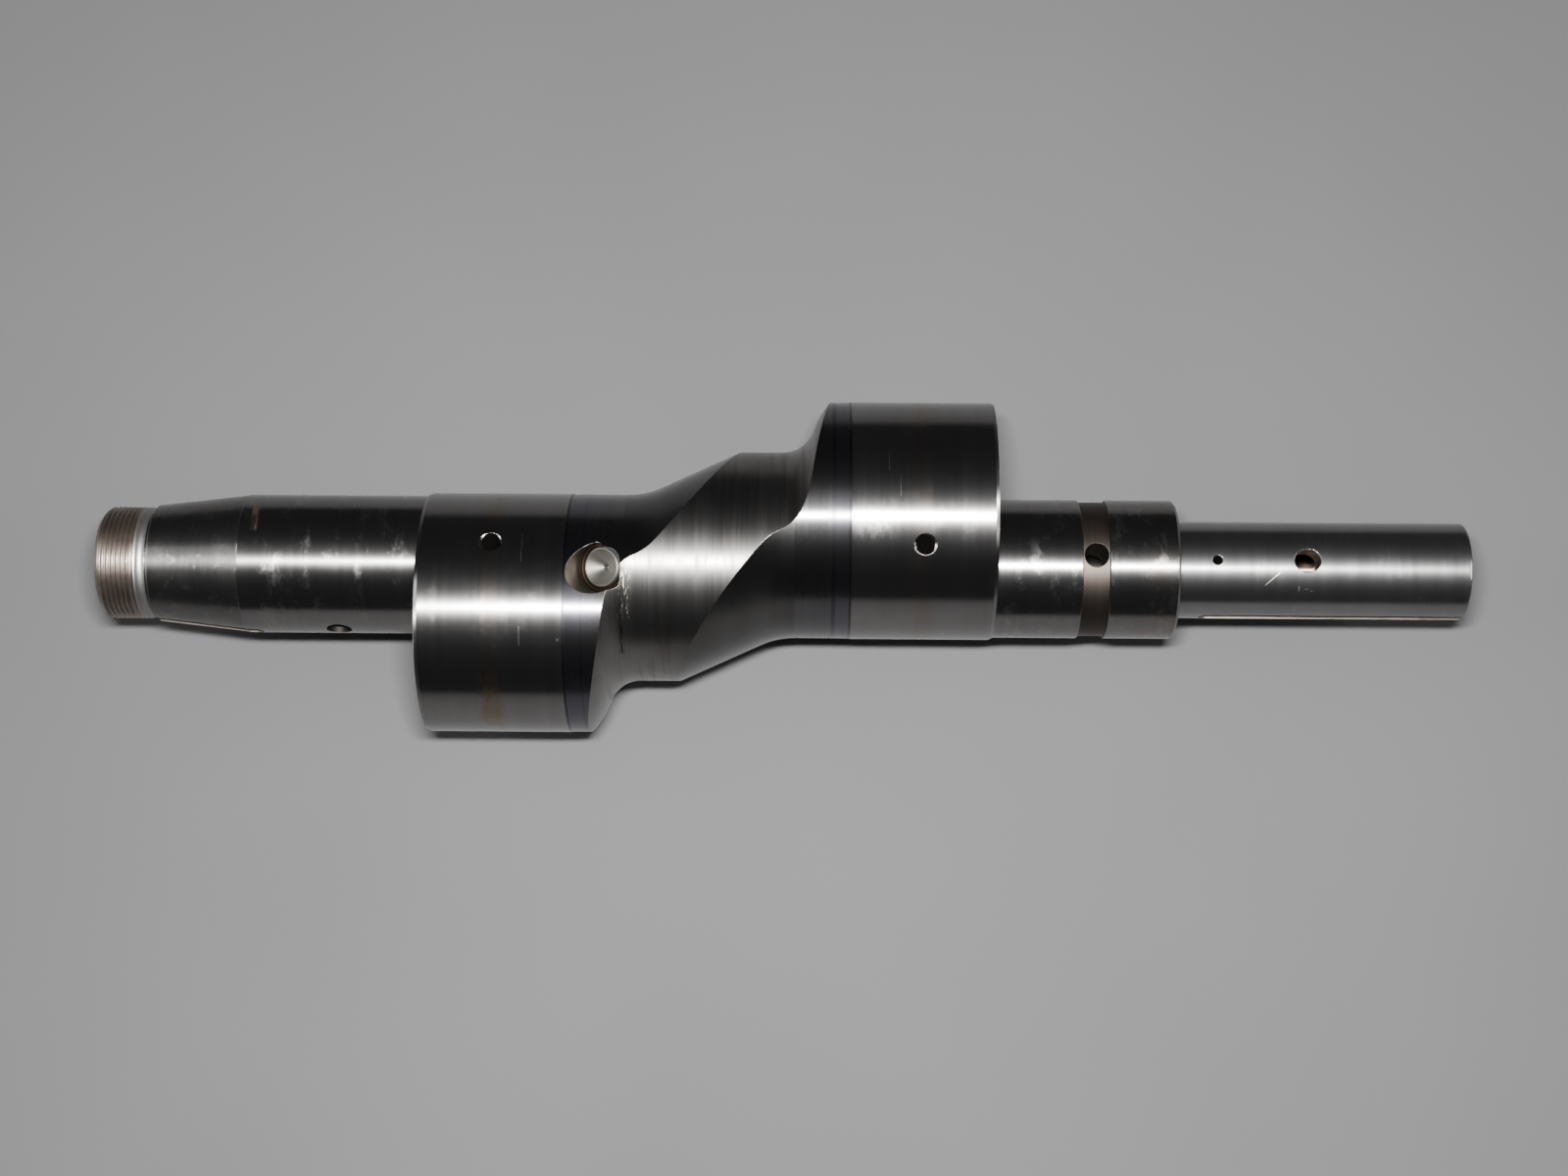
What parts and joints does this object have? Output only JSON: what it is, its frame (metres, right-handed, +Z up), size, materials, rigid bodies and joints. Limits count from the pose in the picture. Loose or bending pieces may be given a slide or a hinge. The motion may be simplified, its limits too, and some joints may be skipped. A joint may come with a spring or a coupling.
{
  "type": "two-rotor engine eccentric shaft",
  "caption": "Steel eccentric shaft of a small rotary engine, with two offset rotor journals, taper and thread at the rear, keyed nose, oil jets, bypass valve and pilot bearing.",
  "frame": {"origin": "on the main axis, halfway along the shaft", "axes": "+X along the main axis towards the nose, +Y towards the front rotor journal, +Z up with the shaft resting on its two rotor journals"},
  "size_m": [0.422, 0.104, 0.074],
  "materials": {
    "forged_steel": "ground and turned alloy steel, bright on the journals, satin on the drum, oil-stained",
    "jet_steel": "turned steel plug with a conical face",
    "ball_steel": "polished bearing steel",
    "spring_steel": "drawn spring wire, lightly oiled",
    "valve_copper": "tan copper alloy, oil-stained",
    "pin_steel": "ground pin",
    "plug_steel": "blackened steel plug",
    "ring_rubber": "black O-ring rubber",
    "bearing_steel": "drawn and hardened bearing cup",
    "cage_brass": "pressed cage, dull",
    "seal_steel": "pressed seal case",
    "seal_rubber": "dark brown-black seal rubber"
  },
  "bodies": {
    "shaft": {"eccentric_shaft": "forged_steel", "rear_jet_plug": "jet_steel", "rear_jet_spring": "spring_steel", "front_jet_plug": "jet_steel", "front_jet_spring": "spring_steel", "thermo_valve_spring": "spring_steel", "gallery_plug": "plug_steel", "gallery_plug_ring": "ring_rubber", "pilot_cup": "bearing_steel", "pilot_seal_case": "seal_steel", "pilot_seal_lip": "seal_rubber"},
    "rear_ball": {"rear_jet_ball": "ball_steel"},
    "front_ball": {"front_jet_ball": "ball_steel"},
    "valve": {"thermo_valve_body": "valve_copper"},
    "valve_pin": {"thermo_valve_pin": "pin_steel"},
    "cage": {"pilot_cage": "cage_brass"},
    "needle_1": {"pilot_needle_1": "ball_steel"},
    "needle_2": {"pilot_needle_2": "ball_steel"},
    "needle_3": {"pilot_needle_3": "ball_steel"},
    "needle_4": {"pilot_needle_4": "ball_steel"},
    "needle_5": {"pilot_needle_5": "ball_steel"},
    "needle_6": {"pilot_needle_6": "ball_steel"},
    "needle_7": {"pilot_needle_7": "ball_steel"},
    "needle_8": {"pilot_needle_8": "ball_steel"},
    "needle_9": {"pilot_needle_9": "ball_steel"},
    "needle_10": {"pilot_needle_10": "ball_steel"},
    "needle_11": {"pilot_needle_11": "ball_steel"},
    "needle_12": {"pilot_needle_12": "ball_steel"}
  },
  "joints": [
    {"name": "rear_jet_lift", "type": "slide", "parent": "shaft", "child": "rear_ball", "axis": [-0.5, -0.1904, 0.8448], "range_m": [0, 0.0012], "stiffness_N_per_m": 150, "deforming": ["rear_jet_spring"]},
    {"name": "front_jet_lift", "type": "slide", "parent": "shaft", "child": "front_ball", "axis": [0.5, 0.1904, -0.8448], "range_m": [0, 0.0012], "stiffness_N_per_m": 150, "deforming": ["front_jet_spring"]},
    {"name": "thermo_valve_slide", "type": "slide", "parent": "shaft", "child": "valve", "axis": [1, 0, 0], "range_m": [-0.006, 0], "stiffness_N_per_m": 400, "deforming": ["thermo_valve_spring"]},
    {"name": "thermo_pin_stroke", "type": "slide", "parent": "valve", "child": "valve_pin", "axis": [1, 0, 0], "range_m": [0, 0.005]},
    {"name": "pilot_cage_turn", "type": "hinge", "parent": "shaft", "child": "cage", "pos_m": [-0.196, 0, 0], "axis": [1, 0, 0], "continuous": true},
    {"name": "needle_1_roll", "type": "hinge", "parent": "cage", "child": "needle_1", "pos_m": [-0.196, 0.00438, -0.00758], "axis": [1, 0, 0], "continuous": true},
    {"name": "needle_2_roll", "type": "hinge", "parent": "cage", "child": "needle_2", "pos_m": [-0.196, 0.00758, -0.00438], "axis": [1, 0, 0], "continuous": true},
    {"name": "needle_3_roll", "type": "hinge", "parent": "cage", "child": "needle_3", "pos_m": [-0.196, 0.00875, 0], "axis": [1, 0, 0], "continuous": true},
    {"name": "needle_4_roll", "type": "hinge", "parent": "cage", "child": "needle_4", "pos_m": [-0.196, 0.00758, 0.00438], "axis": [1, 0, 0], "continuous": true},
    {"name": "needle_5_roll", "type": "hinge", "parent": "cage", "child": "needle_5", "pos_m": [-0.196, 0.00438, 0.00758], "axis": [1, 0, 0], "continuous": true},
    {"name": "needle_6_roll", "type": "hinge", "parent": "cage", "child": "needle_6", "pos_m": [-0.196, 0, 0.00875], "axis": [1, 0, 0], "continuous": true},
    {"name": "needle_7_roll", "type": "hinge", "parent": "cage", "child": "needle_7", "pos_m": [-0.196, -0.00438, 0.00758], "axis": [1, 0, 0], "continuous": true},
    {"name": "needle_8_roll", "type": "hinge", "parent": "cage", "child": "needle_8", "pos_m": [-0.196, -0.00758, 0.00438], "axis": [1, 0, 0], "continuous": true},
    {"name": "needle_9_roll", "type": "hinge", "parent": "cage", "child": "needle_9", "pos_m": [-0.196, -0.00875, 0], "axis": [1, 0, 0], "continuous": true},
    {"name": "needle_10_roll", "type": "hinge", "parent": "cage", "child": "needle_10", "pos_m": [-0.196, -0.00758, -0.00438], "axis": [1, 0, 0], "continuous": true},
    {"name": "needle_11_roll", "type": "hinge", "parent": "cage", "child": "needle_11", "pos_m": [-0.196, -0.00438, -0.00758], "axis": [1, 0, 0], "continuous": true},
    {"name": "needle_12_roll", "type": "hinge", "parent": "cage", "child": "needle_12", "pos_m": [-0.196, 0, -0.00875], "axis": [1, 0, 0], "continuous": true}
  ],
  "couplings": [
    {"joint": "needle_1_roll", "follows": "pilot_cage_turn", "ratio": -8},
    {"joint": "needle_2_roll", "follows": "pilot_cage_turn", "ratio": -8},
    {"joint": "needle_3_roll", "follows": "pilot_cage_turn", "ratio": -8},
    {"joint": "needle_4_roll", "follows": "pilot_cage_turn", "ratio": -8},
    {"joint": "needle_5_roll", "follows": "pilot_cage_turn", "ratio": -8},
    {"joint": "needle_6_roll", "follows": "pilot_cage_turn", "ratio": -8},
    {"joint": "needle_7_roll", "follows": "pilot_cage_turn", "ratio": -8},
    {"joint": "needle_8_roll", "follows": "pilot_cage_turn", "ratio": -8},
    {"joint": "needle_9_roll", "follows": "pilot_cage_turn", "ratio": -8},
    {"joint": "needle_10_roll", "follows": "pilot_cage_turn", "ratio": -8},
    {"joint": "needle_11_roll", "follows": "pilot_cage_turn", "ratio": -8},
    {"joint": "needle_12_roll", "follows": "pilot_cage_turn", "ratio": -8}
  ]
}
